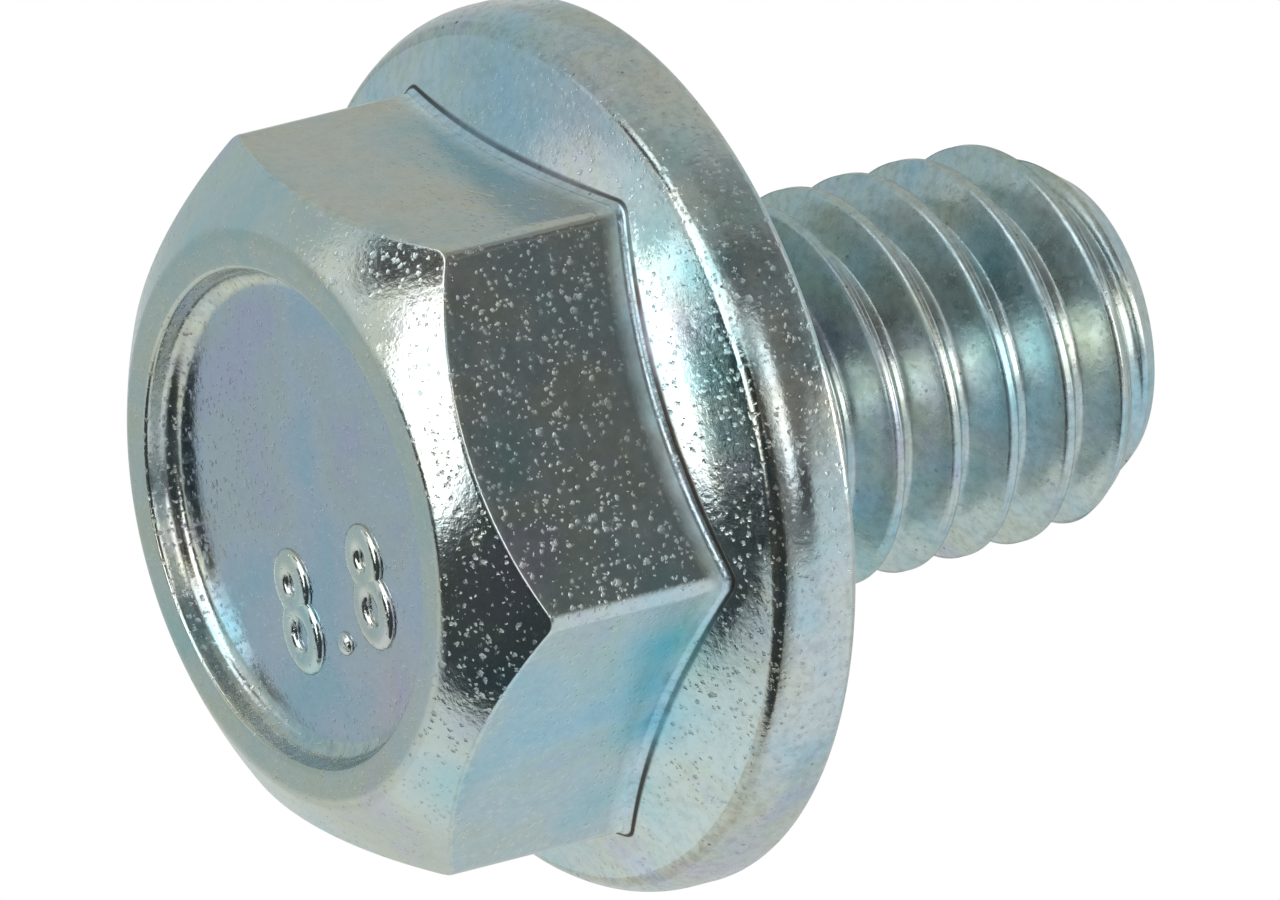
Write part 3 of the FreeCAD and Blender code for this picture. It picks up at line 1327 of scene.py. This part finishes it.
@dataclass(frozen=True)
class ShankCard:
    """Small white card close by, beside the shank, which the thread mirrors and the head doesn't."""

    middle: Place = (-3.1 * MM, 12 * MM, 16.8 * MM)
    half_width: float = 3.2 * MM
    half_height: float = 4.6 * MM
    facing: Place = (0.0, 0.0, 13 * MM)
    shade: Colour = (2.9, 2.8, 2.6)

    def build(self) -> None:
        """Makes the card, turned towards the thread."""
        turn = (Vector(self.facing) - Vector(self.middle)).to_track_quat("Z", "Y").to_matrix().to_4x4()
        size = Matrix.Diagonal((self.half_width, self.half_height, 1.0, 1.0))
        data = flat_card("shank_card", Matrix.Translation(self.middle) @ turn @ size)
        glowing("shank_card", data, np.tile(self.shade, (len(data.vertices), 1)))


def flat_card(name: str, place: Matrix) -> bpy.types.Mesh:
    """Makes a rectangle of four corners.

    Args:
        name: the mesh's name.
        place: what takes a square that reaches 1 m from the origin to its place.

    Returns:
        The rectangle's mesh.
    """
    mesh = bmesh.new()
    bmesh.ops.create_grid(mesh, x_segments=1, y_segments=1, size=1.0)
    mesh.transform(place)
    return plain_mesh(name, mesh)


def hidden_from(made: bpy.types.Object, *rays: str) -> None:
    """Hides an object from rays of the kinds that are named."""
    for ray in rays:
        setattr(made, f"visible_{ray}", False)


def glowing(name: str, data: bpy.types.Mesh, shades: np.ndarray) -> None:
    """Makes a stage object that glows in painted shades. Only mirror-like rays see it.

    Args:
        name: the object's name.
        data: its mesh.
        shades: the shade of each vertex.
    """
    paint_layer(data, "shade", shades)
    made = bpy.data.materials.new(name)
    made.use_nodes = True
    made.cycles.emission_sampling = "NONE"
    made.node_tree.nodes.clear()
    f = Formula(made.node_tree)
    glow = f.node("ShaderNodeEmission")
    f.plug(glow.inputs["Color"], f.node("ShaderNodeAttribute", attribute_name="shade").outputs["Color"])
    f.plug(f.node("ShaderNodeOutputMaterial").inputs["Surface"], glow.outputs[0])
    data.materials.append(made)
    stand = linked(name, data)
    hidden_from(stand, "camera", "diffuse", "transmission", "volume_scatter", "shadow")


@dataclass
class Studio:
    """Pale floor under the standing bolt, white surroundings and a soft lamp."""

    floor_size: float = 1.2
    floor_colour: Colour = (0.86, 0.86, 0.86)
    plain_level: float = 0.75
    lamp_power: float = 0.35
    lamp_size: float = 0.25
    lamp_place: Place = (-0.15, 0.25, 0.45)

    def build(self) -> None:
        """Makes the world, the floor, the lamp and the tent."""
        bpy.context.scene.view_settings.view_transform = "Standard"
        self.world()
        self.floor()
        self.lamp()
        LightTent().build()
        ShankCard().build()

    def world(self) -> None:
        """White for camera, glossy and transmission rays, a plain level for the rest."""
        world = bpy.data.worlds.new("studio")
        bpy.context.scene.world = world
        world.use_nodes = True
        tree = world.node_tree
        f = Formula(tree)
        plain = tree.nodes["Background"]
        plain.inputs["Color"].default_value = WHITE
        plain.inputs["Strength"].default_value = self.plain_level
        white = f.node("ShaderNodeBackground")
        white.inputs["Color"].default_value = WHITE
        path = f.node("ShaderNodeLightPath").outputs
        seen = f.maths("MAXIMUM", path["Is Camera Ray"], path["Is Glossy Ray"])
        seen = f.maths("MAXIMUM", seen, path["Is Transmission Ray"])
        mix = f.node("ShaderNodeMixShader")
        for socket, value in zip(mix.inputs, (seen, plain.outputs[0], white.outputs[0])):
            f.plug(socket, value)
        f.plug(tree.nodes["World Output"].inputs["Surface"], mix.outputs[0])

    def floor(self) -> None:
        """Pale floor that the bolt stands on. Seen from below it is clear, as a glass table would be."""
        data = flat_card("floor", Matrix.Scale(self.floor_size / 2, 4))
        made = bpy.data.materials.new("pale_floor")
        made.use_nodes = True
        f = Formula(made.node_tree)
        made.node_tree.nodes.clear()
        paint = f.node("ShaderNodeBsdfDiffuse")
        paint.inputs["Color"].default_value = (*self.floor_colour, 1.0)
        clear = f.node("ShaderNodeBsdfTransparent")
        mix = f.node("ShaderNodeMixShader")
        under = f.node("ShaderNodeNewGeometry").outputs["Backfacing"]
        for socket, value in zip(mix.inputs, (under, paint.outputs[0], clear.outputs[0])):
            f.plug(socket, value)
        f.plug(f.node("ShaderNodeOutputMaterial").inputs["Surface"], mix.outputs[0])
        data.materials.append(made)
        floor = linked("floor", data)
        hidden_from(floor, "glossy", "diffuse", "transmission", "shadow")

    def lamp(self) -> None:
        """Soft lamp above the bolt, which gives the floor its shadow."""
        data = bpy.data.lights.new("soft_lamp", "AREA")
        data.size = self.lamp_size
        data.energy = self.lamp_power
        lamp = linked("soft_lamp", data)
        lamp.location = self.lamp_place
        lamp.rotation_euler = Vector(self.lamp_place).to_track_quat("Z", "Y").to_euler()
        hidden_from(lamp, "glossy")


def main() -> None:
    """Builds the camera, the surroundings and the bolt, and logs each piece."""
    logging.basicConfig(level=logging.INFO, format="%(message)s")
    Viewpoint().build()
    Studio().build()
    for piece in OilPanBolt(CAD_BOX).build():
        triangles = sum(len(face.vertices) - 2 for face in piece.data.polygons)
        LOG.info("%s: %d triangles", piece.name, triangles)


if __name__ == "__main__":
    main()
